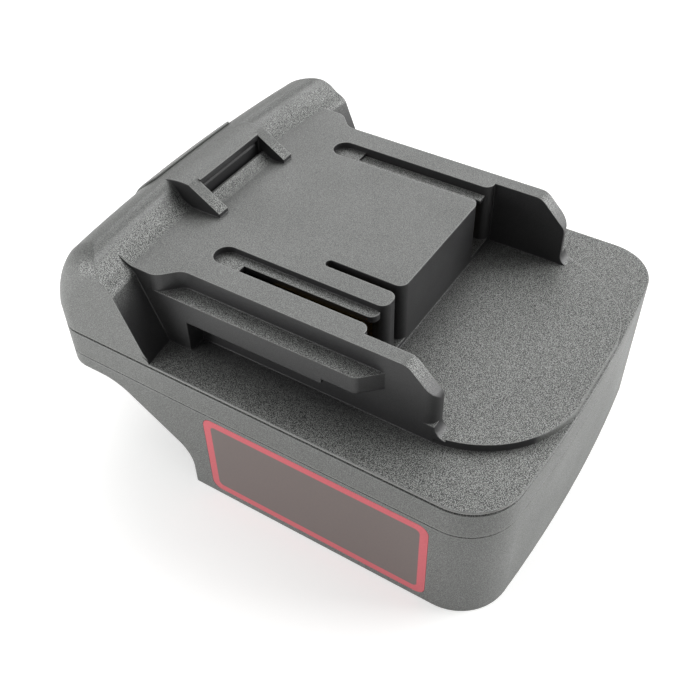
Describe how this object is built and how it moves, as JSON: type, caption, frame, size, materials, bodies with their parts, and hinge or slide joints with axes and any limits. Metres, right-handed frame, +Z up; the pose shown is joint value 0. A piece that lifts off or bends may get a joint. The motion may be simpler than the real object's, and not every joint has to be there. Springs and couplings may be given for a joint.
{
  "type": "tool battery adapter",
  "caption": "Slide-on adapter between a cordless tool and another make's battery pack: railed platform with contact slots, humped back with a sprung release button, open pack socket below.",
  "frame": {"origin": "middle of the bottom rim, on the plane the adapter stands on", "axes": "+X towards the leading end that enters the tool, +Y away from the labelled side, +Z up from the rim to the rails"},
  "size_m": [0.0965, 0.076, 0.0497],
  "materials": {
    "case": "fine spark-eroded grain",
    "latch_plastic": "satin",
    "insulator": "satin",
    "contact_brass": "bright",
    "spring_steel": "drawn wire",
    "screw_steel": "zinc plated",
    "red_insulation": "satin",
    "black_insulation": "satin",
    "white_insulation": "satin",
    "label_film": "satin film with a red border"
  },
  "bodies": {
    "housing": {"top_cover": "case", "middle_frame": "case", "lower_shell": "case", "near_latch_spring": "spring_steel", "far_latch_spring": "spring_steel", "contact_holder": "insulator", "positive_clip": "contact_brass", "negative_clip": "contact_brass", "signal_clip": "contact_brass", "terminal_block": "insulator", "positive_blade": "contact_brass", "negative_blade": "contact_brass", "signal_blade": "contact_brass", "positive_wire": "red_insulation", "negative_wire": "black_insulation", "signal_wire": "white_insulation", "case_screws": "screw_steel", "holder_screws": "screw_steel", "block_screws": "screw_steel", "side_label": "label_film"},
    "latch": {"release_button": "latch_plastic", "latch_bolt": "latch_plastic"}
  },
  "joints": [
    {"name": "latch_press", "type": "slide", "parent": "housing", "child": "latch", "axis": [0, 0, -1], "range_m": [0, 0.004], "stiffness_N_per_m": 1500, "springref_m": -0.003, "deforming": ["near_latch_spring", "far_latch_spring"]}
  ]
}
